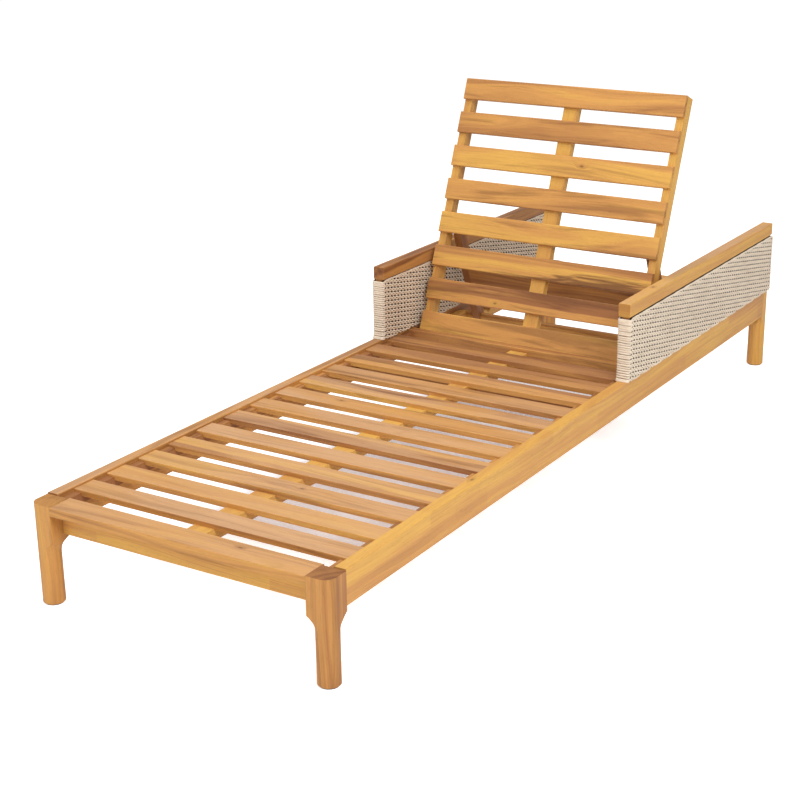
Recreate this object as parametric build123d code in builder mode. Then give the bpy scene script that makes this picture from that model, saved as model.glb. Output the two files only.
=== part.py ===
from build123d import *
import math
import os

# Reclining sun lounger: a timber frame on four legs, a slatted seat, a slatted back that
# is hinged to the side rails and held up by a folding prop, and two woven arm panels.
# Millimetres. +Z up, +Y from the foot end to the head end. Seen from the foot end, +X is
# the right, and "left" and "right" in the names of the pieces are meant that way.
# The origin is on the floor under the middle of the frame.

# ---- driving dimensions -------------------------------------------------------------
LENGTH = 2004.0            # over the legs, along Y
WIDTH = 650.0              # over the side rails, along X
RAIL_TOP = 202.0           # top of the side rails above the floor
RAIL_DEPTH = 66.0          # height of a side rail
RAIL_THICK = 24.0
SLAT_TOP = 198.0           # walking surface of the seat and of the lowered back
SLAT_THICK = 11.0
SLAT_WIDTH = 52.0
SLAT_PITCH = 87.7
SEAT_SLATS = 14            # full slats, the end slat of the foot end counted as the first
EASE = 2.0                 # rounding of the handled timber edges

LEG_BLOCK = 48.0           # square upper part of a leg
POST_DIA = 41.5            # round lower part of a leg
LEG_TOP = 199.0
FLARE_RADIUS = 35.0        # cove between post and block
FLARE_START = 100.0        # height where the post starts to widen
GLIDE_THICK = 2.0
GLIDE_DIA = 35.0
LEG_CHAMFER = 1.5

END_SLAT_WIDTH = 55.0
END_SLAT_THICK = 17.0
APRON_SETBACK = 31.0
APRON_THICK = 20.0
TENON = (12.0, 40.0, 20.0)      # thickness, height and length of a side rail tenon
APRON_TENON = (8.0, 26.0, 8.0)  # the same for an apron tenon

LEDGER = (17.0, 20.0)      # width and height of the slat ledgers
LEDGER_HOUSING = 6.0       # how deep the slats sit in the ledgers
CENTRE_RAIL = (43.0, 22.0)
CENTRE_HOUSING = 2.0       # how deep the slats sit in the centre rail
MID_CROSS_Y = 1000.0       # front face of the middle cross rail, from the foot end
HINGE_CROSS_Y = 1240.0     # front face of the cross rail in front of the hinge
CROSS_RAIL_THICK = 22.0
CROSS_RAIL_RAISE = 4.0     # underside of the cross rails, above that of the side rails

HINGE_Y = 1281.7           # back hinge axis, from the foot end
HINGE_DROP = 25.0          # hinge axis below the slat surface
BACK_ANGLE = 68.0          # of the raised back, from the horizontal
BACK_WIDTH = 565.2
BACK_SLAT_WIDTH = 50.0
BACK_PITCH = 81.0
BACK_SLATS = 8
BOTTOM_EDGE = 13.6         # lower edge of the bottom back slat, beyond the hinge axis
BOTTOM_SLAT_WIDTH = 47.0
CENTRE_STILE_START = 21.6  # lower end of the centre stile, beyond the hinge axis
STILE = (19.0, 28.0)       # width and depth of the outer stiles
CENTRE_STILE = (36.0, 20.0)
STILE_END_RADIUS = 13.5
REST_Y = 1891.0            # blocks under the ends of the lowered back, from the foot end
REST_LENGTH = 17.0
REST_OVERLAP = 2.0         # how far a rest reaches under the stile's inner face

PROP_LENGTH = 290.0        # hinge to prop pivot, and prop pivot to prop bar
PROP_ARM = (19.0, 26.0)
PROP_BAR_DIA = 18.0
PROP_BAR_LENGTH = 596.0
BRACE = (10.0, 60.0)       # thickness and width of the board between the prop arms
BRACE_DISTANCE = 165.0     # its centre line, from the prop pivot
BRACE_OFFSET = 8.0         # its centre plane, in front of the arms' centre plane

PIN_DIA = 8.0
PIN_CLEARANCE = 0.05       # radial, in whatever turns on a pin
RUNNING_GAP = 0.4          # between the prop bar and the rack
RACK_PITCH = 53.0
RACK_NOTCHES = 4           # beyond the upright position
NOTCH_RADIUS = 9.4
RACK_FALL = 10.5           # how far the tooth tips fall from the upright position
RACK_STOP = (46.0, 12.0)   # length of the stop, and its height above the bar's axis
HINGE_BLOCK_REACH = 28.0   # behind the hinge axis
BLOCK_RAISE = 6.0          # underside of the hinge blocks, above that of the side rails
RACK_RAISE = 3.0           # the same for the racks and the rests

ARM_START = 1132.0         # front end of an arm rail, from the foot end
ARM_END = 1998.0
ARM_TOP = 375.0
ARM_RAIL = (28.0, 30.0)    # width and height
WEAVE_START = 1128.0
WEAVE_END = 2003.0
WEAVE_INNER = 296.0        # distance of the inner woven face from the middle
WEAVE_OUTER = 329.0
WEAVE_WALL = 4.5
WEAVE_CORNER = 9.0
ARM_POST = (16.0, 18.0)
ARM_BAR = 8.0

SCREW_DIA = 4.0
SCREW_HEAD = (8.0, 2.2)    # diameter and thickness
SCREW_BITE = 7.0           # into a slat
PIN_HEAD = (14.0, 3.5)
WASHER = (20.0, 1.2)
BOLT_HEAD = (15.0, 6.0)    # across corners, and thickness
HINGE_BITE = 12.0          # of a hinge pin, into the side rail
PROP_BITE = 14.0           # of a prop bolt, into the stile
SIDE_PLAY = 0.2            # between the stile, the washer and the hinge block
HEAD_PLAY = 0.3            # under the head of a pin or a bolt
ARM_PLAY = 0.8             # between a stile and the prop arm beside it
REST_PLAY = 0.3            # under the lowered back
WEAVE_PLAY = 0.6           # under and over a woven sleeve

# ---- worked out from the above -------------------------------------------------------
HALF_L = LENGTH / 2
HALF_W = WIDTH / 2
RAIL_IN = HALF_W - RAIL_THICK
RAIL_LOW = RAIL_TOP - RAIL_DEPTH
SLAT_LOW = SLAT_TOP - SLAT_THICK
LEDGER_TOP = SLAT_LOW + LEDGER_HOUSING
CENTRE_TOP = SLAT_LOW + CENTRE_HOUSING
LEDGER_IN = RAIL_IN - LEDGER[0]
BLOCK_IN = HALF_W - LEG_BLOCK
POST_R = POST_DIA / 2
HINGE_Z = SLAT_TOP - HINGE_DROP
BACK_HALF = BACK_WIDTH / 2
STILE_IN = BACK_HALF - STILE[0]
ARM_OUT = STILE_IN - ARM_PLAY
ARM_IN = ARM_OUT - PROP_ARM[0]
ARM_LOW = ARM_TOP - ARM_RAIL[1]
CENTRE_RAIL_START = APRON_SETBACK + APRON_THICK


def from_foot(distance):
    """Y of a point at a distance from the foot end."""
    return distance - HALF_L


def box(x, y, z):
    """A box between two (low, high) pairs on each axis, added to the open part."""
    size = (x[1] - x[0], y[1] - y[0], z[1] - z[0])
    with Locations(((x[0] + x[1]) / 2, (y[0] + y[1]) / 2, (z[0] + z[1]) / 2)):
        Box(*size)


def save(piece, name):
    piece.label = name
    export_step(piece, f"parts/{name}.step")


def save_pair(piece, name):
    """Write the +X piece as the right one and its mirror image as the left one."""
    with BuildPart() as other:
        mirror(piece, about=Plane.YZ)
    save(piece, f"{name}_right")
    save(other.part, f"{name}_left")


os.makedirs("parts", exist_ok=True)

hinge = Vector(0, from_foot(HINGE_Y), HINGE_Z)
back_up = Vector(0, math.cos(math.radians(BACK_ANGLE)), math.sin(math.radians(BACK_ANGLE)))
back_rear = Vector(0, back_up.Z, -back_up.Y)
prop_pivot = hinge + back_up * PROP_LENGTH
prop_down = Vector(0, back_up.Y, -back_up.Z)
prop_front = Vector(0, -back_up.Z, -back_up.Y)
prop_foot = prop_pivot + prop_down * PROP_LENGTH

# The plane of the slat faces. A sketch on it has -X along its width and the way up the
# back as its height, from the hinge axis, and is extruded to the rear.
back_face = Plane(origin=hinge - back_rear * HINGE_DROP, x_dir=(-1, 0, 0), z_dir=back_rear)

# Side planes for profiles that are drawn in Y and Z and extruded towards +X.
side = Plane(origin=(0, 0, 0), x_dir=(0, 1, 0), z_dir=(1, 0, 0))

slat_edges = [END_SLAT_WIDTH + SLAT_PITCH * i for i in range(SEAT_SLATS)]  # rear edges
seat_slats = [(rear - SLAT_WIDTH, rear) for rear in slat_edges[1:]]

# ---- legs ------------------------------------------------------------------------------
# A square block with its outer corner rounded, intersected with a post that flares out
# under it. The post is flush with both outer faces of the block.
post_centre = HALF_W - POST_R

with BuildPart() as leg:
    with BuildSketch(Plane.XY.offset(GLIDE_THICK)):
        with Locations((HALF_W - LEG_BLOCK / 2, -HALF_L + LEG_BLOCK / 2)):
            Rectangle(LEG_BLOCK, LEG_BLOCK)
        outer_corner = vertices().sort_by(Axis.Y)[:2].sort_by(Axis.X)[-1]
        fillet(outer_corner, radius=POST_R)
    extrude(amount=LEG_TOP - GLIDE_THICK)
    flare_plane = Plane(origin=(post_centre, -HALF_L + POST_R, 0), x_dir=(1, 0, 0), z_dir=(0, -1, 0))
    flare_top = FLARE_START + FLARE_RADIUS
    with BuildSketch(flare_plane):
        with BuildLine():
            Line((0, 0), (POST_R, 0))
            Line((POST_R, 0), (POST_R, FLARE_START))
            RadiusArc((POST_R, FLARE_START), (POST_R + FLARE_RADIUS, flare_top), FLARE_RADIUS)
            Line((POST_R + FLARE_RADIUS, flare_top), (POST_R + FLARE_RADIUS, LEG_TOP))
            Line((POST_R + FLARE_RADIUS, LEG_TOP), (0, LEG_TOP))
            Line((0, LEG_TOP), (0, 0))
        make_face()
    revolve(axis=Axis(flare_plane.origin, (0, 0, 1)), mode=Mode.INTERSECT)
    chamfer(edges().group_by(Axis.Z)[0], length=LEG_CHAMFER)
    # mortises for the side rail and the apron
    mortise_z = (RAIL_TOP + RAIL_LOW) / 2
    with Locations((HALF_W - RAIL_THICK / 2, -HALF_L + LEG_BLOCK - TENON[2] / 2, mortise_z)):
        Box(TENON[0], TENON[2], TENON[1], mode=Mode.SUBTRACT)
    apron_z = (SLAT_TOP - END_SLAT_THICK + RAIL_LOW) / 2
    apron_tenon_y = -HALF_L + LEG_BLOCK - APRON_TENON[0]
    with Locations((BLOCK_IN + APRON_TENON[2] / 2, apron_tenon_y, apron_z)):
        Box(APRON_TENON[2], APRON_TENON[0], APRON_TENON[1], mode=Mode.SUBTRACT)

with BuildPart() as leg_rear:
    mirror(leg.part, about=Plane.XZ)
save_pair(leg.part, "leg_foot")
save_pair(leg_rear.part, "leg_head")

with BuildPart() as glides:
    with BuildSketch():
        with GridLocations(2 * post_centre, 2 * (HALF_L - POST_R), 2, 2):
            Circle(GLIDE_DIA / 2)
    extrude(amount=GLIDE_THICK)
save(glides.part, "foot_glides")

# ---- frame -----------------------------------------------------------------------------
rail_span = (-HALF_L + LEG_BLOCK, HALF_L - LEG_BLOCK)

with BuildPart() as side_rail:
    box((RAIL_IN, HALF_W), rail_span, (RAIL_LOW, RAIL_TOP))
    fillet(edges().filter_by(Axis.Y), radius=EASE)
    tenon_x = (HALF_W - RAIL_THICK / 2 - TENON[0] / 2, HALF_W - RAIL_THICK / 2 + TENON[0] / 2)
    tenon_z = (mortise_z - TENON[1] / 2, mortise_z + TENON[1] / 2)
    box(tenon_x, (rail_span[0] - TENON[2], rail_span[0]), tenon_z)
    box(tenon_x, (rail_span[1], rail_span[1] + TENON[2]), tenon_z)
    with BuildSketch(side.offset(RAIL_IN)):
        with Locations((hinge.Y, hinge.Z)):
            Circle(PIN_DIA / 2)
    extrude(amount=HINGE_BITE, mode=Mode.SUBTRACT)
save_pair(side_rail.part, "side_rail")

# The apron is set back under the end slat, with a short tenon into each leg.
with BuildPart() as foot_apron:
    apron_front = -HALF_L + APRON_SETBACK
    apron_top = SLAT_TOP - END_SLAT_THICK
    box((-BLOCK_IN, BLOCK_IN), (apron_front, apron_front + APRON_THICK), (RAIL_LOW, apron_top))
    fillet(edges().filter_by(Axis.X).group_by(Axis.Z)[0], radius=EASE)
    with Locations((0, apron_tenon_y, apron_z)):
        Box(2 * (BLOCK_IN + APRON_TENON[2]), APRON_TENON[0], APRON_TENON[1])
save(foot_apron.part, "foot_apron")

with BuildPart() as head_apron:
    mirror(foot_apron.part, about=Plane.XZ)
save(head_apron.part, "head_apron")

with BuildPart() as foot_end_slat:
    box((-BLOCK_IN, BLOCK_IN), (-HALF_L, -HALF_L + END_SLAT_WIDTH), (apron_top, SLAT_TOP))
    fillet(edges().filter_by(Axis.X), radius=EASE)
save(foot_end_slat.part, "foot_end_slat")

with BuildPart() as head_end_slat:
    mirror(foot_end_slat.part, about=Plane.XZ)
save(head_end_slat.part, "head_end_slat")

# Ledgers and centre rail carry the seat slats in shallow housings.
ledger_x = (LEDGER_IN, RAIL_IN)
screw_x = (LEDGER_IN + RAIL_IN) / 2
screw_rows = [from_foot((front + rear) / 2) for front, rear in seat_slats]
screw_places = [(x, y) for x in (-screw_x, screw_x) for y in screw_rows]
screw_tip = SLAT_LOW + SCREW_BITE
ledger_low = LEDGER_TOP - LEDGER[1]
centre_low = CENTRE_TOP - CENTRE_RAIL[1]

with BuildPart() as ledger:
    box(ledger_x, (from_foot(LEG_BLOCK), from_foot(HINGE_CROSS_Y)), (ledger_low, LEDGER_TOP))
    for front, rear in seat_slats:
        with Locations((screw_x, from_foot((front + rear) / 2), (SLAT_LOW + LEDGER_TOP) / 2)):
            Box(LEDGER[0], rear - front, LEDGER_HOUSING, mode=Mode.SUBTRACT)
    end_slat_rear = from_foot((LEG_BLOCK + END_SLAT_WIDTH) / 2)
    with Locations((screw_x, end_slat_rear, (apron_top + LEDGER_TOP) / 2)):
        Box(LEDGER[0], END_SLAT_WIDTH - LEG_BLOCK, LEDGER_TOP - apron_top, mode=Mode.SUBTRACT)
    with BuildSketch(Plane.XY.offset(ledger_low)):
        with Locations([(screw_x, y) for y in screw_rows]):
            Circle(SCREW_DIA / 2)
    extrude(amount=LEDGER[1], mode=Mode.SUBTRACT)
save_pair(ledger.part, "ledger")

with BuildPart() as centre_rail:
    half = CENTRE_RAIL[0] / 2
    span = (from_foot(CENTRE_RAIL_START), from_foot(HINGE_CROSS_Y))
    box((-half, half), span, (centre_low, CENTRE_TOP))
    for front, rear in seat_slats:
        with Locations((0, from_foot((front + rear) / 2), (SLAT_LOW + CENTRE_TOP) / 2)):
            Box(CENTRE_RAIL[0], rear - front, CENTRE_HOUSING, mode=Mode.SUBTRACT)
    rail_under_end = from_foot((CENTRE_RAIL_START + END_SLAT_WIDTH) / 2)
    under_end = (END_SLAT_WIDTH - CENTRE_RAIL_START, CENTRE_TOP - apron_top)
    with Locations((0, rail_under_end, (apron_top + CENTRE_TOP) / 2)):
        Box(CENTRE_RAIL[0], *under_end, mode=Mode.SUBTRACT)
save(centre_rail.part, "centre_rail")

with BuildPart() as mid_cross_rail:
    mid_y = (from_foot(MID_CROSS_Y), from_foot(MID_CROSS_Y + CROSS_RAIL_THICK))
    box((-RAIL_IN, RAIL_IN), mid_y, (RAIL_LOW + CROSS_RAIL_RAISE, SLAT_LOW))
    with Locations((0, sum(mid_y) / 2, (centre_low + SLAT_LOW) / 2)):
        Box(CENTRE_RAIL[0], CROSS_RAIL_THICK, SLAT_LOW - centre_low, mode=Mode.SUBTRACT)
    with Locations([(s * screw_x, sum(mid_y) / 2, (ledger_low + SLAT_LOW) / 2) for s in (-1, 1)]):
        Box(LEDGER[0], CROSS_RAIL_THICK, SLAT_LOW - ledger_low, mode=Mode.SUBTRACT)
save(mid_cross_rail.part, "mid_cross_rail")

with BuildPart() as hinge_cross_rail:
    cross_y = (from_foot(HINGE_CROSS_Y), from_foot(HINGE_CROSS_Y + CROSS_RAIL_THICK))
    box((-RAIL_IN, RAIL_IN), cross_y, (RAIL_LOW + CROSS_RAIL_RAISE, SLAT_TOP))
    fillet(edges().filter_by(Axis.X).group_by(Axis.Z)[-1], radius=EASE)
save(hinge_cross_rail.part, "hinge_cross_rail")

for number, (front, rear) in enumerate(seat_slats, start=2):
    with BuildPart() as seat_slat:
        box((-RAIL_IN, RAIL_IN), (from_foot(front), from_foot(rear)), (SLAT_LOW, SLAT_TOP))
        fillet(edges().filter_by(Axis.X).group_by(Axis.Z)[-1], radius=EASE)
        with BuildSketch(Plane.XY.offset(SLAT_LOW)):
            with Locations([(s * screw_x, from_foot((front + rear) / 2)) for s in (-1, 1)]):
                Circle(SCREW_DIA / 2)
        extrude(amount=SCREW_BITE, mode=Mode.SUBTRACT)
    save(seat_slat.part, f"seat_slat_{number:02d}")

with BuildPart() as seat_screws:
    with BuildSketch(Plane.XY.offset(ledger_low)):
        with Locations(screw_places):
            Circle(SCREW_DIA / 2)
    extrude(amount=screw_tip - ledger_low)
    with BuildSketch(Plane.XY.offset(ledger_low)):
        with Locations(screw_places):
            Circle(SCREW_HEAD[0] / 2)
    extrude(amount=-SCREW_HEAD[1])
save(seat_screws.part, "seat_screws")

# ---- hinge blocks, racks and rests, all on the inner faces of the side rails --------------
block_in = BACK_HALF + WASHER[1] + SIDE_PLAY

with BuildPart() as hinge_block:
    block_y = (cross_y[1], hinge.Y + HINGE_BLOCK_REACH)
    box((block_in, RAIL_IN), block_y, (RAIL_LOW + BLOCK_RAISE, SLAT_LOW))
    fillet(edges().filter_by(Axis.X), radius=6)
    with BuildSketch(side.offset(block_in)):
        with Locations((hinge.Y, hinge.Z)):
            Circle(PIN_DIA / 2)
    extrude(amount=RAIL_IN - block_in, mode=Mode.SUBTRACT)
save_pair(hinge_block.part, "hinge_block")

# The rack: a stop behind the upright position, then a land and half-round notches that
# fall slightly towards the head end, all just clear of the bar's path.
path_low = PROP_BAR_DIA / 2 + RUNNING_GAP
rack_end = prop_foot.Y + RACK_PITCH * (RACK_NOTCHES + 1)
rack_low = RAIL_LOW + RACK_RAISE


def rack_height(y):
    """Height of the line over the tooth tips."""
    run = (y - prop_foot.Y) / (rack_end - prop_foot.Y)
    return prop_foot.Z - path_low - RACK_FALL * run


with BuildPart() as rack:
    stop = prop_foot.Y - path_low
    stop_start = stop - RACK_STOP[0]
    stop_top = prop_foot.Z + RACK_STOP[1]
    with BuildSketch(side.offset(block_in)):
        with BuildLine():
            Line((stop_start, rack_low), (stop_start, stop_top))
            Line((stop_start, stop_top), (stop, stop_top))
            Line((stop, stop_top), (stop, prop_foot.Z))
            RadiusArc((stop, prop_foot.Z), (prop_foot.Y, prop_foot.Z - path_low), -path_low)
            Line((prop_foot.Y, prop_foot.Z - path_low), (rack_end, rack_height(rack_end)))
            Line((rack_end, rack_height(rack_end)), (rack_end, rack_low))
            Line((rack_end, rack_low), (stop_start, rack_low))
        make_face()
        for notch in range(1, RACK_NOTCHES + 1):
            notch_y = prop_foot.Y + RACK_PITCH * notch
            with Locations((notch_y, rack_height(notch_y) + 1)):
                Circle(NOTCH_RADIUS, mode=Mode.SUBTRACT)
    extrude(amount=RAIL_IN - block_in)
save_pair(rack.part, "rack")

with BuildPart() as back_rests:
    rest_y = (from_foot(REST_Y), from_foot(REST_Y + REST_LENGTH))
    rest_top = HINGE_Z - STILE[1] / 2 - REST_PLAY
    for sign in (-1, 1):
        x = sorted((sign * (STILE_IN - REST_OVERLAP), sign * RAIL_IN))
        box(x, rest_y, (rack_low, rest_top))
save(back_rests.part, "back_rests")

# ---- arms --------------------------------------------------------------------------------
arm_x = (HALF_W - ARM_RAIL[0], HALF_W)
post_mid = (WEAVE_INNER + WEAVE_OUTER) / 2

with BuildPart() as arm_rail:
    box(arm_x, (from_foot(ARM_START), from_foot(ARM_END)), (ARM_LOW, ARM_TOP))
    fillet(edges().filter_by(Axis.Y), radius=EASE + 0.5)
    chamfer(edges().group_by(Axis.Y)[0], length=0.8)
    chamfer(edges().group_by(Axis.Y)[-1], length=0.8)
save_pair(arm_rail.part, "arm_rail")

with BuildPart() as arm_frame:
    first = from_foot(WEAVE_START + WEAVE_WALL + 1)
    last = from_foot(WEAVE_END - WEAVE_WALL - 1) - ARM_POST[1]
    post_x = (post_mid - ARM_POST[0] / 2, post_mid + ARM_POST[0] / 2)
    for start in (first, (first + last) / 2, last):
        box(post_x, (start, start + ARM_POST[1]), (RAIL_TOP, ARM_LOW))
    for low in (RAIL_TOP, ARM_LOW - ARM_BAR):
        box(post_x, (first, last + ARM_POST[1]), (low, low + ARM_BAR))
save_pair(arm_frame.part, "arm_frame")

with BuildPart() as arm_weave:
    outer = (WEAVE_OUTER - WEAVE_INNER, WEAVE_END - WEAVE_START)
    weave_centre = (post_mid, from_foot((WEAVE_START + WEAVE_END) / 2))
    weave_low = RAIL_TOP + WEAVE_PLAY
    with BuildSketch(Plane.XY.offset(weave_low)):
        with Locations(weave_centre):
            RectangleRounded(outer[0], outer[1], WEAVE_CORNER)
            inner = (outer[0] - 2 * WEAVE_WALL, outer[1] - 2 * WEAVE_WALL)
            RectangleRounded(inner[0], inner[1], WEAVE_CORNER - WEAVE_WALL, mode=Mode.SUBTRACT)
    extrude(amount=ARM_LOW - WEAVE_PLAY - weave_low)
save_pair(arm_weave.part, "arm_weave")

# ---- back ----------------------------------------------------------------------------------
# Heights on the back run from the hinge axis towards the top slat.
top_edge = BOTTOM_EDGE + BOTTOM_SLAT_WIDTH + BACK_PITCH * (BACK_SLATS - 1)
back_screw_x = BACK_HALF - STILE[0] / 2
slat_spans = []
for i in range(BACK_SLATS):
    upper = BOTTOM_EDGE + BOTTOM_SLAT_WIDTH + BACK_PITCH * i
    width = BOTTOM_SLAT_WIDTH if i == 0 else BACK_SLAT_WIDTH
    slat_spans.append((upper - width, upper))

for number, (lower, upper) in enumerate(slat_spans, start=1):
    with BuildPart() as back_slat:
        with BuildSketch(back_face):
            with Locations((0, (lower + upper) / 2)):
                Rectangle(BACK_WIDTH, upper - lower)
        extrude(amount=SLAT_THICK)
        front_edges = edges().filter_by(Axis.X).sort_by(Axis(back_face.origin, back_rear))[:2]
        fillet(front_edges, radius=EASE)
        with BuildSketch(back_face.offset(SLAT_THICK)):
            with Locations([(s * back_screw_x, (lower + upper) / 2) for s in (-1, 1)]):
                Circle(SCREW_DIA / 2)
        extrude(amount=-SCREW_BITE, mode=Mode.SUBTRACT)
    save(back_slat.part, f"back_slat_{number}")

# Outer stiles: a bar with a rounded lower end about the hinge axis, bored through for the
# hinge pin and part of the way for the prop bolt.
stile_z = HINGE_DROP - SLAT_THICK
with BuildPart() as stile:
    with BuildSketch(Plane(origin=(STILE_IN, hinge.Y, hinge.Z), x_dir=back_up, z_dir=(1, 0, 0))):
        with Locations((top_edge / 2, 0)):
            Rectangle(top_edge, 2 * stile_z)
        Circle(STILE_END_RADIUS)
        Circle(PIN_DIA / 2 + PIN_CLEARANCE, mode=Mode.SUBTRACT)
    extrude(amount=STILE[0])
    with BuildSketch(side.offset(STILE_IN)):
        with Locations((prop_pivot.Y, prop_pivot.Z)):
            Circle(PIN_DIA / 2)
    extrude(amount=PROP_BITE, mode=Mode.SUBTRACT)
    with BuildSketch(back_face.offset(HINGE_DROP + stile_z)):
        with Locations([(-back_screw_x, (lower + upper) / 2) for lower, upper in slat_spans]):
            Circle(SCREW_DIA / 2)
    extrude(amount=-2 * stile_z, mode=Mode.SUBTRACT)
save_pair(stile.part, "back_stile")

with BuildPart() as centre_stile:
    with BuildSketch(back_face.offset(SLAT_THICK)):
        with Locations((0, (CENTRE_STILE_START + top_edge) / 2)):
            Rectangle(CENTRE_STILE[0], top_edge - CENTRE_STILE_START)
    extrude(amount=CENTRE_STILE[1])
save(centre_stile.part, "back_stile_centre")

with BuildPart() as back_screws:
    places = [(s * back_screw_x, (low + high) / 2) for s in (-1, 1) for low, high in slat_spans]
    rear_face = HINGE_DROP + stile_z
    with BuildSketch(back_face.offset(rear_face)):
        with Locations(places):
            Circle(SCREW_DIA / 2)
    extrude(amount=SLAT_THICK - rear_face - SCREW_BITE)
    with BuildSketch(back_face.offset(rear_face)):
        with Locations(places):
            Circle(SCREW_HEAD[0] / 2)
    extrude(amount=SCREW_HEAD[1])
save(back_screws.part, "back_screws")

# ---- prop ----------------------------------------------------------------------------------
with BuildPart() as prop_arm:
    arm_plane = Plane(origin=(ARM_IN, prop_pivot.Y, prop_pivot.Z), x_dir=prop_down, z_dir=(1, 0, 0))
    with BuildSketch(arm_plane):
        with Locations((PROP_LENGTH / 2, 0)):
            SlotCenterToCenter(PROP_LENGTH, PROP_ARM[1])
        Circle(PIN_DIA / 2 + PIN_CLEARANCE, mode=Mode.SUBTRACT)
        with Locations((PROP_LENGTH, 0)):
            Circle(PROP_BAR_DIA / 2, mode=Mode.SUBTRACT)
    extrude(amount=PROP_ARM[0])
save_pair(prop_arm.part, "prop_arm")

with BuildPart() as prop_bar:
    with BuildSketch(Plane.YZ.offset(-PROP_BAR_LENGTH / 2)):
        with Locations((prop_foot.Y, prop_foot.Z)):
            Circle(PROP_BAR_DIA / 2)
    extrude(amount=PROP_BAR_LENGTH)
    chamfer(edges(), length=1)
save(prop_bar.part, "prop_bar")

brace_centre = prop_pivot + prop_down * BRACE_DISTANCE + prop_front * BRACE_OFFSET
with BuildPart() as prop_brace:
    with BuildSketch(Plane(origin=brace_centre, x_dir=(1, 0, 0), z_dir=prop_front)):
        Rectangle(2 * ARM_IN, BRACE[1])
    extrude(amount=BRACE[0] / 2, both=True)
    fillet(edges().filter_by(Axis.X), radius=EASE)
save(prop_brace.part, "prop_brace")

# ---- pivots ----------------------------------------------------------------------------------
# Back hinge: a pin from inside the stile into the rail, with a washer beside the stile.
with BuildPart() as hinge_pins:
    for sign in (-1, 1):
        pin_plane = Plane(origin=(0, hinge.Y, hinge.Z), x_dir=(0, 1, 0), z_dir=(sign, 0, 0))
        head_start = STILE_IN - HEAD_PLAY - PIN_HEAD[1]
        with BuildSketch(pin_plane.offset(head_start)):
            Circle(PIN_HEAD[0] / 2)
        extrude(amount=PIN_HEAD[1])
        with BuildSketch(pin_plane.offset(head_start)):
            Circle(PIN_DIA / 2)
        extrude(amount=RAIL_IN + HINGE_BITE - head_start)
        with BuildSketch(pin_plane.offset(BACK_HALF + SIDE_PLAY)):
            Circle(WASHER[0] / 2)
        extrude(amount=WASHER[1])
save(hinge_pins.part, "hinge_pins")

# Prop pivot: a bolt from inside the arm, through it and into the stile.
with BuildPart() as prop_pins:
    for sign in (-1, 1):
        bolt_plane = Plane(
            origin=(0, prop_pivot.Y, prop_pivot.Z), x_dir=(0, 1, 0), z_dir=(sign, 0, 0)
        )
        head_start = ARM_IN - HEAD_PLAY - BOLT_HEAD[1]
        with BuildSketch(bolt_plane.offset(head_start)):
            RegularPolygon(BOLT_HEAD[0] / 2, 6)
        extrude(amount=BOLT_HEAD[1])
        with BuildSketch(bolt_plane.offset(head_start)):
            Circle(PIN_DIA / 2)
        extrude(amount=STILE_IN + PROP_BITE - head_start)
save(prop_pins.part, "prop_pins")
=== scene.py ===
"""Looks of a reclining timber sun lounger: boards of oiled acacia, woven arm panels, fittings and stage."""

import math
import random

import bpy
from mathutils import Euler, Matrix, Vector


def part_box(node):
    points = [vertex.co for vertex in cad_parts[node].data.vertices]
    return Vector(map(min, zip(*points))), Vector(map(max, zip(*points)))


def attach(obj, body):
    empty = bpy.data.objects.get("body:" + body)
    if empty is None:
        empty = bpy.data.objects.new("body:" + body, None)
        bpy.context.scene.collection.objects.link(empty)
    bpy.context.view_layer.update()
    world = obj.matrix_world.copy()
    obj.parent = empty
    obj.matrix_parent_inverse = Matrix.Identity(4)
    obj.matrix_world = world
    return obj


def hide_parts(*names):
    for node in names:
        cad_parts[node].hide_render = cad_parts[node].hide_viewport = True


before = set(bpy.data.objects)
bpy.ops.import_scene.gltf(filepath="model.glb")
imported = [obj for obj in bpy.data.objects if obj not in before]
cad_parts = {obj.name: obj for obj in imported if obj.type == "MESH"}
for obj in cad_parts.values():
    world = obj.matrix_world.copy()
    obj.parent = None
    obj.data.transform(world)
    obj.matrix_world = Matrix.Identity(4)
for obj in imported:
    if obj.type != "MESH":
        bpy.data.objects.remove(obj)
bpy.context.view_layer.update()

bl_info = {
    "name": "Timber sun lounger",
    "version": (1, 0, 0),
    "blender": (4, 5, 0),
    "location": "View3D > Sidebar > Lounger",
    "description": "Timber, weaving, fittings and stage of a reclining sun lounger",
    "category": "Object",
}

BACK_ANGLE = math.radians(68)

# How each way of cutting a board is turned so that its grain runs along X.
GRAIN_TURN = {
    "across": (0, 0, 0),
    "along": (0, 0, -math.pi / 2),
    "upright": (0, math.pi / 2, 0),
    "back_slat": (-BACK_ANGLE, 0, 0),
    "back_stile": (-BACK_ANGLE, 0, -math.pi / 2),
    "prop_arm": (BACK_ANGLE, 0, -math.pi / 2),
    "prop_brace": (BACK_ANGLE, 0, 0),
}


# ---- sizes and colours ---------------------------------------------------------------------


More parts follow.
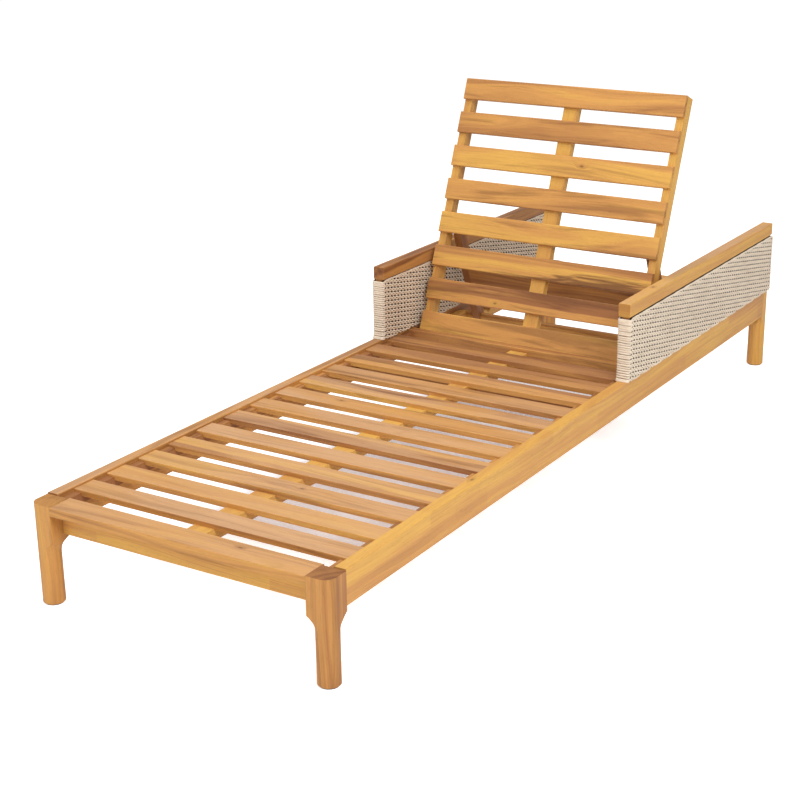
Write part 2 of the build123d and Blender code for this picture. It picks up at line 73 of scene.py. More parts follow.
class TimberSettings(bpy.types.PropertyGroup):
    """Colours and figure of the oiled acacia."""

    sapwood: bpy.props.FloatVectorProperty(
        name="Sapwood", description="Yellow outer wood of the tree", subtype="COLOR",
        default=(0.70, 0.385, 0.080))
    golden: bpy.props.FloatVectorProperty(
        name="Golden", description="The usual colour of a board", subtype="COLOR",
        default=(0.60, 0.288, 0.076))
    heartwood: bpy.props.FloatVectorProperty(
        name="Heartwood", description="Brown inner wood of the tree", subtype="COLOR",
        default=(0.32, 0.128, 0.042))
    streak: bpy.props.FloatVectorProperty(
        name="Streak", description="Darkest veins and knots", subtype="COLOR",
        default=(0.12, 0.038, 0.012))
    bleached: bpy.props.FloatVectorProperty(
        name="Dry face", description="Pinkish bloom on faces that lie upwards", subtype="COLOR",
        default=(0.63, 0.37, 0.190))
    ring_spacing: bpy.props.FloatProperty(
        name="Growth rings", description="Distance between growth rings", default=0.0065, unit="LENGTH")
    roughness: bpy.props.FloatProperty(
        name="Roughness", description="Sheen of the oil, lower is glossier", default=0.5, subtype="FACTOR")


class WeaveSettings(bpy.types.PropertyGroup):
    """Sizes and colours of the woven arm panels."""

    strand: bpy.props.FloatProperty(
        name="Strand", description="Thickness of a strand", default=0.0050, unit="LENGTH")
    row: bpy.props.FloatProperty(
        name="Row", description="Height from one twined pair to the next", default=0.0103, unit="LENGTH")
    slope: bpy.props.FloatProperty(
        name="Slope", description="Fall of the rows towards the head end", default=0.18)
    stake: bpy.props.FloatProperty(
        name="Stakes", description="Distance between upright stakes", default=0.014, unit="LENGTH")
    stake_width: bpy.props.FloatProperty(
        name="Stake width", description="Thickness of an upright stake", default=0.0034, unit="LENGTH")
    colour: bpy.props.FloatVectorProperty(
        name="Strand colour", description="Natural cane colour", subtype="COLOR",
        default=(0.82, 0.695, 0.555))
    shade: bpy.props.FloatVectorProperty(
        name="Dry strands", description="Greyer patches of the cane", subtype="COLOR",
        default=(0.66, 0.54, 0.41))
    fibre: bpy.props.FloatVectorProperty(
        name="Fibres", description="Fine brown fibres along the cane", subtype="COLOR",
        default=(0.30, 0.20, 0.12))
    # Near black: painted shade deep inside the weave, on the strands and on the stakes.
    painted_shade: bpy.props.FloatVectorProperty(
        name="Inside", description="Colour deep inside the weave", subtype="COLOR",
        default=(0.012, 0.009, 0.007))


class FittingSettings(bpy.types.PropertyGroup):
    """Colours of the screws, the pins and the glides."""

    dull_zinc: bpy.props.FloatVectorProperty(
        name="Dull zinc", description="Clouded patches of the plating", subtype="COLOR",
        default=(0.36, 0.36, 0.35))
    bright_zinc: bpy.props.FloatVectorProperty(
        name="Bright zinc", description="Clean patches of the plating", subtype="COLOR",
        default=(0.60, 0.59, 0.56))
    glide: bpy.props.FloatVectorProperty(
        name="Glides", description="Moulded plastic under the legs", subtype="COLOR",
        default=(0.035, 0.033, 0.03))
    scuffed_glide: bpy.props.FloatVectorProperty(
        name="Scuffs", description="Scuffed patches of the glides", subtype="COLOR",
        default=(0.10, 0.095, 0.085))


class StageSettings(bpy.types.PropertyGroup):
    """Camera, floor and light."""

    place: bpy.props.FloatVectorProperty(
        name="Camera place", description="Where the camera stands", unit="LENGTH", subtype="XYZ",
        default=(1.6802, -2.9125, 1.3257))
    azimuth: bpy.props.FloatProperty(
        name="Azimuth", description="Turn of the camera round the lounger", unit="ROTATION",
        default=math.radians(30.997))
    elevation: bpy.props.FloatProperty(
        name="Elevation", description="Tilt of the camera down to the lounger", unit="ROTATION",
        default=math.radians(19.3625))
    roll: bpy.props.FloatProperty(
        name="Roll", description="Lean of the camera", unit="ROTATION", default=math.radians(-0.3768))
    lens: bpy.props.FloatProperty(name="Lens", description="Focal length in mm", default=72.986)
    shift: bpy.props.FloatProperty(name="Shift", description="Sideways shift of the frame", default=-0.05)
    floor: bpy.props.FloatVectorProperty(
        name="Floor colour", description="Pale paper floor", subtype="COLOR", default=(0.95, 0.95, 0.95))
    floor_shade: bpy.props.FloatVectorProperty(
        name="Floor shade", description="Glow of the paper in the shade under the seat", subtype="COLOR",
        default=(0.20, 0.21, 0.27))
    floor_glow: bpy.props.FloatProperty(
        name="Floor glow", description="Light of its own that keeps the paper white", default=0.6)
    room: bpy.props.FloatProperty(
        name="Room light", description="Soft light from all round", default=0.45)


# ---- shader maths --------------------------------------------------------------------------


class Signal:
    """An output socket that takes part in Python sums, each of which adds its Math node."""

    def __init__(self, finish, socket):
        self.finish = finish
        self.socket = socket

    def _sum(self, operation, *values):
        return self.finish.node("ShaderNodeMath", *values, operation=operation)

    def __add__(self, other):
        return self._sum("ADD", self, other)

    def __radd__(self, other):
        return self._sum("ADD", other, self)

    def __sub__(self, other):
        return self._sum("SUBTRACT", self, other)

    def __rsub__(self, other):
        return self._sum("SUBTRACT", other, self)

    def __mul__(self, other):
        return self._sum("MULTIPLY", self, other)

    def __rmul__(self, other):
        return self._sum("MULTIPLY", other, self)

    def __truediv__(self, other):
        return self._sum("DIVIDE", self, other)

    def __pow__(self, other):
        return self._sum("POWER", self, other)

    def __rpow__(self, other):
        return self._sum("POWER", other, self)

    def __abs__(self):
        return self._sum("ABSOLUTE", self)

    def floor(self):
        return self._sum("FLOOR", self)

    def least(self, other):
        return self._sum("MINIMUM", self, other)

    def most(self, other):
        return self._sum("MAXIMUM", self, other)

    def step(self, low, high, smooth=True):
        """0 below low and 1 above high."""
        kind = "SMOOTHSTEP" if smooth else "LINEAR"
        values = {"Value": self, "From Min": low, "From Max": high}
        return self.finish.node("ShaderNodeMapRange", interpolation_type=kind, **values)


class Finish:
    """A material under construction, with its shader and its nodes."""

    def __init__(self, name):
        self.material = bpy.data.materials.new(name)
        self.material.use_nodes = True
        self.tree = self.material.node_tree
        self.shader = self.tree.nodes["Principled BSDF"]
        self.place = self.node("ShaderNodeTexCoord", output="Object")
        self.facing = self.node("ShaderNodeTexCoord", output="Normal")

    def feed(self, socket, value):
        """Gives a socket a link or a value of its own."""
        if isinstance(value, Signal):
            self.tree.links.new(value.socket, socket)
        elif hasattr(socket.default_value, "__len__") and len(socket.default_value) == 4:
            socket.default_value = (*value, 1) if len(value) == 3 else value
        else:
            socket.default_value = value

    def node(self, kind, *values, output=0, numbered=None, **named):
        """Adds a node. Lower-case names are its settings. The others are sockets, as numbered ones are."""
        node = self.tree.nodes.new(kind)
        for name, value in named.items():
            if name[0].islower():
                setattr(node, name, value)
        for socket, value in zip(node.inputs, values):
            self.feed(socket, value)
        for name, value in named.items():
            if not name[0].islower():
                self.feed(node.inputs[name], value)
        for number, value in (numbered or {}).items():
            self.feed(node.inputs[number], value)
        return Signal(self, node.outputs[output])

    def noise(self, vector, scale, detail=2.0, roughness=0.5, output=0):
        values = {"Vector": vector, "Scale": scale, "Detail": detail, "Roughness": roughness}
        return self.node("ShaderNodeTexNoise", output=output, **values)

    def stretch(self, vector, scale, place=(0, 0, 0)):
        """The vector with each axis scaled, then moved to a place of its own in the noise."""
        return self.node("ShaderNodeMapping", Vector=vector, Scale=scale, Location=place)

    def blend(self, mask, first, second):
        """Colour first where mask is 0 and second where it is 1."""
        sockets = {0: mask, 6: first, 7: second}
        return self.node("ShaderNodeMix", data_type="RGBA", numbered=sockets, output=2)

    def scale(self, colour, amount):
        """Colour times a number or a mask."""
        return self.node("ShaderNodeVectorMath", colour, amount, operation="MULTIPLY")

    def parts(self, vector):
        """The X, Y and Z of a vector."""
        split = self.node("ShaderNodeSeparateXYZ", vector)
        return [Signal(self, socket) for socket in split.socket.node.outputs]

    def join(self, x, y, z):
        return self.node("ShaderNodeCombineXYZ", x, y, z)

    def bump(self, height, distance, strength):
        values = {"Height": height, "Distance": distance, "Strength": strength}
        self.feed(self.shader.inputs["Normal"], self.node("ShaderNodeBump", **values))

    def surface(self, **sockets):
        """Feeds the shader's sockets, with _ for each space in a name."""
        for name, value in sockets.items():
            self.feed(self.shader.inputs[name.replace("_", " ")], value)


# ---- timber ----------------------------------------------------------------------------------


class Board:
    """How one board is sawn. Its tone runs from 0, sapwood, to 1, heartwood."""

    def __init__(self, grain, tone, veins, pink=0.0, split=None, knots=(), joints=None, end=0.5):
        self.grain = grain      # a name from GRAIN_TURN
        self.tone = tone
        self.veins = veins      # how dark its veins are
        self.pink = pink        # how much bloom its upper face has
        self.split = split      # (place across the board in mm, 1 or -1 for the brown side)
        self.knots = knots      # (place along, place across) in mm, from the board's middle
        self.joints = joints    # (glue line in mm from the board's middle, length of a lamella in mm)
        self.end = end          # how dark the end grain is


# Noise that is drawn out with the fibres, in turns per metre along, across and through a board.
DRIFT = (1.4, 7.0, 7.0)
PATCHES = (3.2, 14, 14)
VEINS = (1.7, 42, 42)
FIBRES = (9, 420, 420)
PORES = (60, 1700, 1700)

DRIFT_WIDTH = 0.075         # how far the growth rings wander across a board
PITH_SIDE = 0.05            # the furthest that the pith lies to one side of a board
PITH_DEPTH = (0.035, 0.10)  # the range of its distance above or below
KNOT_LENGTH = 0.25          # a knot's squared width over its squared length
KNOT_CORE = 0.000010        # squared reach of a knot's dark middle
KNOT_RIM = 0.00008          # squared reach of its brown rim
KNOT_SWERVE = 0.010         # how far the fibres swerve round a knot
KNOT_FADE = -22000.0        # how fast that dies away with the squared distance
GLUE_LINE = (0.0003, 0.0007)


def knot_signals(board, along, wide):
    """How far the fibres swerve round the board's knots, and a mask of the knots."""
    swerve, mask = 0.0, 0.0
    for knot_x, knot_y in board.knots:
        near = (along - knot_x / 1000) * (along - knot_x / 1000) * KNOT_LENGTH
        near = near + (wide - knot_y / 1000) * (wide - knot_y / 1000)
        swerve = math.e ** (near * KNOT_FADE) * KNOT_SWERVE + swerve
        mask = (1 - near.step(0.0, KNOT_CORE)) * 0.7 + (1 - near.step(0.0, KNOT_RIM)) * 0.3 + mask
    return swerve, mask


def lamella_signals(finish, board, along, deep, seat):
    """A shade for each finger-jointed length of the board's strips, and a mask of their glue line."""
    line, length = board.joints
    strip = (deep - line / 1000).step(-0.0001, 0.0001, smooth=False)
    cell = (along / (length / 1000) + strip * 0.43 + seat.y).floor()
    shade = finish.node("ShaderNodeTexWhiteNoise", finish.join(cell, strip, seat.z))
    return shade, 1 - abs(deep - line / 1000).step(*GLUE_LINE)


def timber(node, board, seed):
    """Oiled acacia for one board: growth rings, fibres, veins, knots, end grain and glue lines."""
    look = bpy.context.scene.lounger_timber
    finish = Finish(f"acacia_{node}")
    angles = GRAIN_TURN[board.grain]
    rng = random.Random(seed)
    low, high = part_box(node)
    middle = Euler(angles).to_matrix() @ ((low + high) / 2)
    place = finish.node("ShaderNodeMapping", Vector=finish.place, Rotation=angles, Location=-middle)
    across = finish.node("ShaderNodeMapping", Vector=finish.facing, Rotation=angles, vector_type="NORMAL")
    along, wide, deep = finish.parts(place)
    seat = Vector((rng.uniform(-9, 9), rng.uniform(-9, 9), rng.uniform(-9, 9)))

    # Slow drift of the fibres along the board, and the swerve of the fibres round knots.
    drift = finish.noise(finish.stretch(place, DRIFT, seat), 1.0, 2.0, output="Color")
    drift_y, drift_z, tint = finish.parts(drift)
    swerve, knot_mask = knot_signals(board, along, wide)

    # Growth rings lie round the pith, which is off to one side of the board.
    pith_y = rng.uniform(-PITH_SIDE, PITH_SIDE)
    pith_z = rng.choice((-1, 1)) * rng.uniform(*PITH_DEPTH)
    ring_y = wide - pith_y + (drift_y - 0.5) * DRIFT_WIDTH
    ring_z = deep - pith_z + (drift_z - 0.5) * DRIFT_WIDTH
    radius = (ring_y * ring_y + ring_z * ring_z) ** 0.5 + swerve
    ring_place = finish.join(radius / look.ring_spacing, along * 1.5, seat.x)
    rings = finish.noise(ring_place, 0.55, 3.0, 0.6).step(0.33, 0.67)
    late_wood = finish.noise(ring_place, 1.7, 2.0, 0.55).step(0.50, 0.72)

    # Broad veins, fine fibres and pores, all drawn out along the grain.
    flow = finish.join(along, ring_y + swerve, ring_z)
    veins = finish.noise(finish.stretch(flow, VEINS, seat), 1.0, 4.0, 0.62).step(0.50, 0.64)
    fibres = finish.noise(finish.stretch(flow, FIBRES, seat), 1.0, 3.0, 0.6)
    pores = finish.noise(finish.stretch(flow, PORES, seat), 1.0, 1.0).step(0.60, 0.74)
    patches = finish.noise(finish.stretch(flow, PATCHES, seat), 1.0, 2.0)

    # Tone runs from sapwood to heartwood, board by board and lamella by lamella. On some boards a dark tone
    # is painted shade.
    tone = board.tone + (rings - 0.5) * 0.42 + (patches - 0.5) * 0.75 + (tint - 0.5) * 0.35
    if board.split:
        edge, side = board.split
        brown = ((wide + (drift_y - 0.5) * 0.03 - edge / 1000) * side).step(-0.002, 0.003)
        tone = tone + brown * 0.62 - 0.25
    if board.joints:
        shade, glue = lamella_signals(finish, board, along, deep, seat)
        tone = tone + (shade - 0.5) * 0.32
    tone = tone.most(0.0).least(1.0)
    colour = finish.blend(tone.step(0.0, 0.42), look.sapwood, look.golden)
    colour = finish.blend(tone.step(0.38, 1.0), colour, look.heartwood)

    # Bloom on faces that lie upwards, then the figure from the broadest marks to the finest.
    if board.pink:
        upwards = finish.parts(finish.facing)[2]
        bloom = upwards.step(0.6, 0.95) * patches.step(0.2, 0.6) * board.pink
        colour = finish.blend(bloom, colour, look.bleached)
    colour = finish.blend(veins * board.veins, colour, look.streak)
    colour = finish.blend(late_wood * (0.10 + 0.18 * board.veins), colour, look.heartwood)
    colour = finish.blend(fibres.step(0.35, 0.75) * 0.20, colour, look.heartwood)
    colour = finish.blend(pores * 0.25, colour, look.streak)
    if board.knots:
        colour = finish.blend(knot_mask.least(1.0) * 0.7, colour, look.streak)
    if board.joints:
        colour = finish.blend(glue * 0.35, colour, look.sapwood)
    end_grain = abs(finish.parts(across)[0]).step(0.75, 0.95)
    end_colour = finish.blend(rings * 0.6 + 0.2, look.heartwood, look.streak)
    colour = finish.blend(end_grain * board.end, colour, end_colour)

    sheen = fibres * 0.16 + (look.roughness - 0.06) + end_grain * 0.2 + pores * 0.08
    finish.surface(Base_Color=colour, Roughness=sheen.least(1.0), Specular_IOR_Level=0.3)
    finish.bump(fibres * 0.6 - pores * 0.7 + late_wood * 0.35, 0.00016, 0.75)
    return finish.material


def boards():
    """How every board of the lounger is sawn, by node."""
    table = {
        "foot_apron": Board("across", 0.32, 0.25, joints=(0, 380)),
        "head_apron": Board("across", 0.40, 0.30, joints=(0, 420)),
        "foot_end_slat": Board("across", 0.36, 0.28, 0.45, knots=((120, 9),)),
        "head_end_slat": Board("across", 0.38, 0.30, 0.35),
        "side_rail_right": Board("along", 0.28, 0.08, joints=(9, 470), knots=((-520, 3), (610, 12))),
        "side_rail_left": Board("along", 0.62, 0.40, 0.6, joints=(9, 430)),
        "leg_foot_right": Board("upright", 0.64, 0.35, end=0.75),
        "leg_foot_left": Board("upright", 0.36, 0.25, end=0.35),
        "leg_head_right": Board("upright", 0.45, 0.35),
        "leg_head_left": Board("upright", 0.50, 0.4),
        "centre_rail": Board("along", 0.12, 0.15, joints=(30, 350)),
        "mid_cross_rail": Board("across", 0.60, 0.5),
        "hinge_cross_rail": Board("across", 0.72, 0.5),
        "back_rests": Board("along", 0.5, 0.3),
        "arm_rail_left": Board("along", 0.90, 0.60, 0.15),
        "arm_rail_right": Board("along", 0.20, 0.10, 0.85, knots=((-280, 2),), end=0.35),
        "arm_frame_left": Board("along", 0.6, 0.3),
        "arm_frame_right": Board("along", 0.6, 0.3),
        "back_stile_centre": Board("back_stile", 0.04, 0.05, end=0.0),
        "back_stile_left": Board("back_stile", 0.15, 0.15),
        "back_stile_right": Board("back_stile", 0.26, 0.2),
        "prop_arm_left": Board("prop_arm", 0.82, 0.6),
        # A dark heartwood tone that is painted shade under the seat boards.
        "prop_arm_right": Board("prop_arm", 0.95, 0.6),
        "prop_brace": Board("prop_brace", 0.74, 0.6),
        "prop_bar": Board("across", 0.5, 0.3),
        # A dark heartwood tone that is painted shade under the left edge of the seat.
        "ledger_left": Board("along", 0.92, 0.5, joints=(30, 350)),
        "ledger_right": Board("along", 0.60, 0.4, joints=(30, 350)),
        "hinge_block_left": Board("along", 0.5, 0.3),
        "hinge_block_right": Board("along", 0.5, 0.3),
        "rack_left": Board("along", 0.42, 0.3),
        "rack_right": Board("along", 0.42, 0.3),
    }
    # Seat boards from the foot end to the head end. They darken towards the head: partly their own tone,
    # partly painted shade from the back and the arms.
    seat = [
        Board("across", 0.46, 0.30, 0.8),
        Board("across", 0.32, 0.18, 0.5),
        Board("across", 0.36, 0.28, 0.6, knots=((60, 6),)),
        Board("across", 0.34, 0.22, 0.5, split=(-12, -1)),
        Board("across", 0.40, 0.32, 0.8),
        Board("across", 0.44, 0.38, 0.6, split=(14, -1)),
        Board("across", 0.44, 0.30, 0.7),
        Board("across", 0.52, 0.45, 0.9, knots=((-150, 4),)),
        Board("across", 0.56, 0.60, 0.6, split=(-6, 1)),
        Board("across", 0.64, 0.55, 0.5),
        Board("across", 0.72, 0.60, 0.3, split=(8, 1)),
        Board("across", 0.80, 0.60, 0.2),
        Board("across", 0.78, 0.55, 0.2),
    ]
    back = [
        Board("back_slat", 0.34, 0.45, end=0.15),
        Board("back_slat", 0.50, 0.60, split=(-6, 1), knots=((-95, -14),), end=0.15),
        Board("back_slat", 0.46, 0.85, split=(6, 1), end=0.15),
        Board("back_slat", 0.34, 0.50, end=0.15),
        Board("back_slat", 0.36, 0.45, end=0.15),
        Board("back_slat", 0.24, 0.32, knots=((60, 4),), end=0.15),
        Board("back_slat", 0.48, 0.50, end=0.15),
        Board("back_slat", 0.45, 0.35, end=0.15),
    ]
    for number, board in enumerate(seat, start=2):
        table[f"seat_slat_{number:02d}"] = board
    for number, board in enumerate(back, start=1):
        table[f"back_slat_{number}"] = board
    return table


class LOUNGER_OT_timber(bpy.types.Operator):
    """Give every board its own piece of acacia"""

    bl_idname = "lounger.timber"
    bl_label = "Timber"

    def execute(self, context):
        for seed, (node, board) in enumerate(sorted(boards().items())):
            dress(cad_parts[node], timber(node, board, seed))
        return {"FINISHED"}


def dress(piece, material):
    """The piece shows this material alone."""
    piece.data.materials.clear()
    piece.data.materials.append(material)


# ---- weaving ---------------------------------------------------------------------------------


PAINTED_SHADE_DEPTH = (0.0023, 0.0038)   # under the sleeve's surface, from where the strands are painted dark with shade
# How far the stakes are painted with the near-black shade colour of the weave's inside.
STAKE_PAINTED_SHADE = 0.98
MOTTLE = (60, 22, 210)
HAIR = (300, 90, 2600)


def strand_finish(side, mid, half, open_to_light=True):
    """Natural cane: light where it shows, with painted shade deep between the strands and on the stakes."""
    look = bpy.context.scene.lounger_weave
    finish = Finish(f"cane_{side}" if open_to_light else f"stake_{side}")
    x, y, _ = finish.parts(finish.place)
    # Painted shade: the strands turn near black deep under the sleeve's surface, and the stakes almost
    # wholly.
    depth = (half.x - abs(x - mid.x)).least(half.y - abs(y - mid.y))
    painted_shade_mask = depth.step(*PAINTED_SHADE_DEPTH) if open_to_light else STAKE_PAINTED_SHADE
    mottle = finish.noise(finish.stretch(finish.place, MOTTLE), 1.0, 3.0)
    hair = finish.noise(finish.stretch(finish.place, HAIR), 1.0, 2.0)
    colour = finish.blend(mottle.step(0.38, 0.72) * 0.7, look.colour, look.shade)
    colour = finish.blend(hair.step(0.55, 0.8) * 0.22, colour, look.fibre)
    colour = finish.blend(painted_shade_mask, colour, look.painted_shade)
    finish.surface(Base_Color=colour, Roughness=mottle * 0.2 + 0.5, Specular_IOR_Level=0.3)
    finish.bump(hair, 0.0001, 0.6)
    return finish.material


def nurbs(curve, points, cyclic):
    """Adds a smooth strand through the curve's space."""
    spline = curve.splines.new("NURBS")
    spline.points.add(len(points) - 1)
    for point, place in zip(spline.points, points):
        point.co = (*place, 1)
    spline.order_u = 3
    spline.use_cyclic_u = cyclic
    spline.use_endpoint_u = not cyclic
    spline.resolution_u = 2


def strands(name, lines, thickness, cyclic):
    """A mesh of round strands along the given lines."""
    curve = bpy.data.curves.new(name, "CURVE")
    curve.dimensions = "3D"
    curve.bevel_depth = thickness / 2
    curve.bevel_resolution = 1
    curve.use_fill_caps = not cyclic
    for line in lines:
        nurbs(curve, line, cyclic)
    guide = bpy.data.objects.new(name + "_guide", curve)
    bpy.context.scene.collection.objects.link(guide)
    bpy.context.view_layer.update()
    mesh = bpy.data.meshes.new_from_object(guide.evaluated_get(bpy.context.evaluated_depsgraph_get()))
    bpy.data.objects.remove(guide)
    mesh.polygons.foreach_set("use_smooth", [True] * len(mesh.polygons))
    piece = bpy.data.objects.new(name, mesh)
    bpy.context.scene.collection.objects.link(piece)
    return piece


class Sleeve:
    """The flat tube that a panel is woven as: its box, and the rows that wind round it."""

    SWING = (0.48, 1.72)    # of the control points inwards and upwards, in strand radii
    DEPTH = 1.5             # of a row's axis under the face, in strand radii
    CORNER = 0.012          # from either end of the sleeve to its first stake
    STAKE_ENDS = (0.002, 0.001)     # from the sleeve's bottom and top to a stake's ends
    RUN_ON = 0.9            # of a row along the edge of the sleeve, in row heights
    TUCK = 0.0012           # of that stretch behind the rows beside it
    OVERHANG = 0.0045       # of the lowest strands, over the arris of the side rail
    END_OVERHANG = (0.4, 0.04)      # share of it at the foot end, and the height where it fades
    END_DROP = (0.0035, 0.03)       # sag of the rows round the ends under the arm rail, and its height
    BULGE = (0.005, 0.024)  # how far the lowest rows stand out at the foot end, and their height
    END_DEPTH = 1.1         # of a strand's axis under the face as it goes round an end, in strand radii
    ROUND_IN = 0.0055       # from the end of the sleeve to where a strand leaves the face
    THROUGH = 0.7           # how wide a strand is as it crosses inside the sleeve, of the sleeve's width
    TURN_BACK = (0.006, 0.004)      # reach past a row's last stake: the usual one, and its swing
    LAY = 0.0003            # unevenness of the rows on the faces
    END_LAY = (0.0004, 0.0005)      # unevenness round the ends, upwards and outwards

    def __init__(self, node, look, seed):
        low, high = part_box(node)
        self.low, self.high = low, high
        self.mid, self.half = (low + high) / 2, (high - low) / 2
        self.look = look
        self.rng = random.Random(seed)
        self.radius = look.strand / 2
        first, last = low.y + self.CORNER, high.y - self.CORNER
        self.gaps = round((last - first) / look.stake)
        self.first, self.pitch = first, (last - first) / self.gaps
        self.axis_x = self.half.x - self.DEPTH * self.radius

    def stake_lines(self):
        """Axis of every upright stake, in both faces."""
        bottom, top = self.STAKE_ENDS
        heights = (self.low.z + bottom, self.mid.z, self.high.z - top)
        lines = []
        for face in (-1, 1):
            for stake in range(self.gaps + 1):
                x, y = self.mid.x + face * self.axis_x, self.first + stake * self.pitch
                lines.append([(x, y, z) for z in heights])
        return lines

    def rows(self):
        """Height of every twined pair at the foot end."""
        look = self.look
        start = self.low.z + 2 * self.radius
        rise = 2 * self.half.z - 4 * self.radius + look.slope * 2 * self.half.y
        count = round(rise / look.row)
        return [start + rise * i / count for i in range(count + 1)]

    def span(self, height):
        """First and last half gap between stakes where a pair lies inside the sleeve."""
        slope = self.look.slope
        run_on = self.RUN_ON * self.look.row
        start = (height - self.high.z + self.radius - run_on) / slope
        end = (height - self.low.z - self.radius + run_on) / slope
        halves = [2 * (y - self.CORNER) / self.pitch for y in (start, end)]
        return max(0, math.ceil(halves[0])), min(2 * self.gaps, math.floor(halves[1]))

    def inside(self, z):
        """The nearest height at which a strand lies wholly inside the sleeve."""
        return min(max(z, self.low.z + self.radius), self.high.z - self.radius)

    def face_point(self, face, half_gap, height, strand):
        """A control point of a twining strand, which turns half round the other at each stake."""
        y = self.first + half_gap * self.pitch / 2
        turn = math.pi / 2 * (half_gap + 1 + 2 * strand)
        inwards, upwards = (self.radius * share for share in self.SWING)
        z = height - self.look.slope * (y - self.low.y) + upwards * math.cos(turn)
        z += self.rng.uniform(-self.LAY, self.LAY)
        shown = min(max(z, self.low.z + self.radius - self.OVERHANG), self.high.z - self.radius)
        tuck = min(abs(z - shown) / 4, self.TUCK)
        return (self.mid.x + face * (self.axis_x + inwards * math.sin(turn) - tuck), y, shown)

    def crossing(self, face, half_gap, height, strand, end):
        """Control points that take a strand from one face to the other."""
        at_end = half_gap in (0, 2 * self.gaps)
        side = math.cos(math.pi / 2 * (half_gap + 1 + end + 2 * strand))
        y = self.first + half_gap * self.pitch / 2
        z = height - self.look.slope * (y - self.low.y)
        wide = self.half.x - self.radius * self.END_DEPTH
        if not at_end:
            usual, swing = self.TURN_BACK
            y += end * (usual + swing * side)
            inner = wide * self.THROUGH
            return [(self.mid.x + way * face * inner, y, self.inside(z)) for way in (1, -1)]
        drop, drop_height = self.END_DROP
        sag = drop * max(0.0, 1 - (self.high.z - z) / drop_height)
        if end < 0:
            share, hang_height = self.END_OVERHANG
            sag += self.OVERHANG * share * max(0.0, 1 - (z - self.low.z) / hang_height)
        lay_up, lay_out = self.END_LAY
        z = self.inside(z + side * self.radius) + self.rng.uniform(-lay_up, lay_up) - sag
        reach = self.half.y - self.radius - self.rng.uniform(0, lay_out)
        if end < 0:
            bulge, bulge_height = self.BULGE
            reach += bulge * max(0.0, 1 - (z - self.low.z) / bulge_height) ** 2
        inset = self.ROUND_IN
        places = ((1, inset), (1, 0), (0.33, 0), (-0.33, 0), (-1, 0), (-1, inset))
        return [
            (self.mid.x + way * face * wide, self.mid.y + end * (reach - back), z)
            for way, back in places
        ]

    def loops(self):
        """Two strands for every row, out along one face and back along the other."""
        lines = []
        for height in self.rows():
            start, end = self.span(height)
            if end - start < 2:
                continue
            for strand in (0, 1):
                line = [self.face_point(1, i, height, strand) for i in range(start, end + 1)]
                line += self.crossing(1, end, height, strand, 1)
                line += [self.face_point(-1, i, height, strand) for i in range(end, start - 1, -1)]
                line += self.crossing(-1, start, height, strand, -1)
                lines.append(line)
        return lines


class LOUNGER_OT_weaving(bpy.types.Operator):
    """Weave a panel round the frame of each arm"""

    bl_idname = "lounger.weaving"
    bl_label = "Woven panels"

    def execute(self, context):
        look = context.scene.lounger_weave
        for side in ("left", "right"):
            node = f"arm_weave_{side}"
            sleeve = Sleeve(node, look, side)
            weft = strands(f"woven_strands_{side}", sleeve.loops(), look.strand, True)
            stakes = strands(f"woven_stakes_{side}", sleeve.stake_lines(), look.stake_width, False)
            weft.data.materials.append(strand_finish(side, sleeve.mid, sleeve.half))
            stakes.data.materials.append(strand_finish(side, sleeve.mid, sleeve.half, False))
            for piece in (weft, stakes):
                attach(piece, "frame")
                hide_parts(node)
        return {"FINISHED"}


# ---- fittings --------------------------------------------------------------------------------


def zinc_finish(look):
    """Zinc-plated steel: a clouded plating with fine scratches."""
    finish = Finish("zinc_plated_steel")
    cloud = finish.noise(finish.stretch(finish.place, (90, 90, 90)), 1.0, 4.0, 0.6)
    scratch = finish.noise(finish.stretch(finish.place, (2500, 260, 2500)), 1.0, 2.0)
    colour = finish.blend(cloud.step(0.3, 0.7), look.dull_zinc, look.bright_zinc)
    finish.surface(Base_Color=colour, Metallic=1.0, Roughness=cloud * 0.25 + scratch * 0.12 + 0.2)
    finish.bump(scratch, 0.00005, 0.5)
    return finish.material


def glide_finish(look):
    """Moulded plastic, scuffed in patches."""
    finish = Finish("moulded_glide")
    grain = finish.noise(finish.stretch(finish.place, (1400, 1400, 1400)), 1.0, 2.0)
    scuff = finish.noise(finish.stretch(finish.place, (120, 120, 120)), 1.0, 3.0)
    colour = finish.blend(scuff.step(0.45, 0.75), look.glide, look.scuffed_glide)
    finish.surface(Base_Color=colour, Roughness=grain * 0.2 + 0.5)
    finish.bump(grain, 0.00008, 0.5)
    return finish.material


class LOUNGER_OT_fittings(bpy.types.Operator):
    """Finish the screws, the pins and the glides"""

    bl_idname = "lounger.fittings"
    bl_label = "Fittings"

    def execute(self, context):
        look = context.scene.lounger_fittings
        zinc = zinc_finish(look)
        for node in ("seat_screws", "back_screws", "hinge_pins", "prop_pins"):
            dress(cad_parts[node], zinc)
        dress(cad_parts["foot_glides"], glide_finish(look))
        return {"FINISHED"}


# ---- stage -----------------------------------------------------------------------------------


# Middle and half size, across and along, of the paper that lies in the shade under the seat.
SHADE_MIDDLE = (-0.11, 0.05)
SHADE_HALF = (0.19, 0.60)
SHADE_EDGE = (-0.01, 0.07)      # where the shade fades, from inside its edge to outside
FLOOR_SIZE = 24
INDOOR_GLOW = (0.12, 0.12, 0.12)    # what the paper throws back at the lounger

# Name, place, the point it is turned to, width and height, and power of each light.
SOFTBOXES = (
    ("key_softbox", (2.6, -1.9, 2.9), (0, 0.1, 0.2), (1.6, 1.6), 92),
    ("top_softbox", (-0.8, 0.2, 3.6), (0, 0, 0), (2.4, 2.4), 62),
    ("front_softbox", (-1.0, -4.4, 1.9), (0, 0, 0.3), (2.2, 1.6), 38),
)


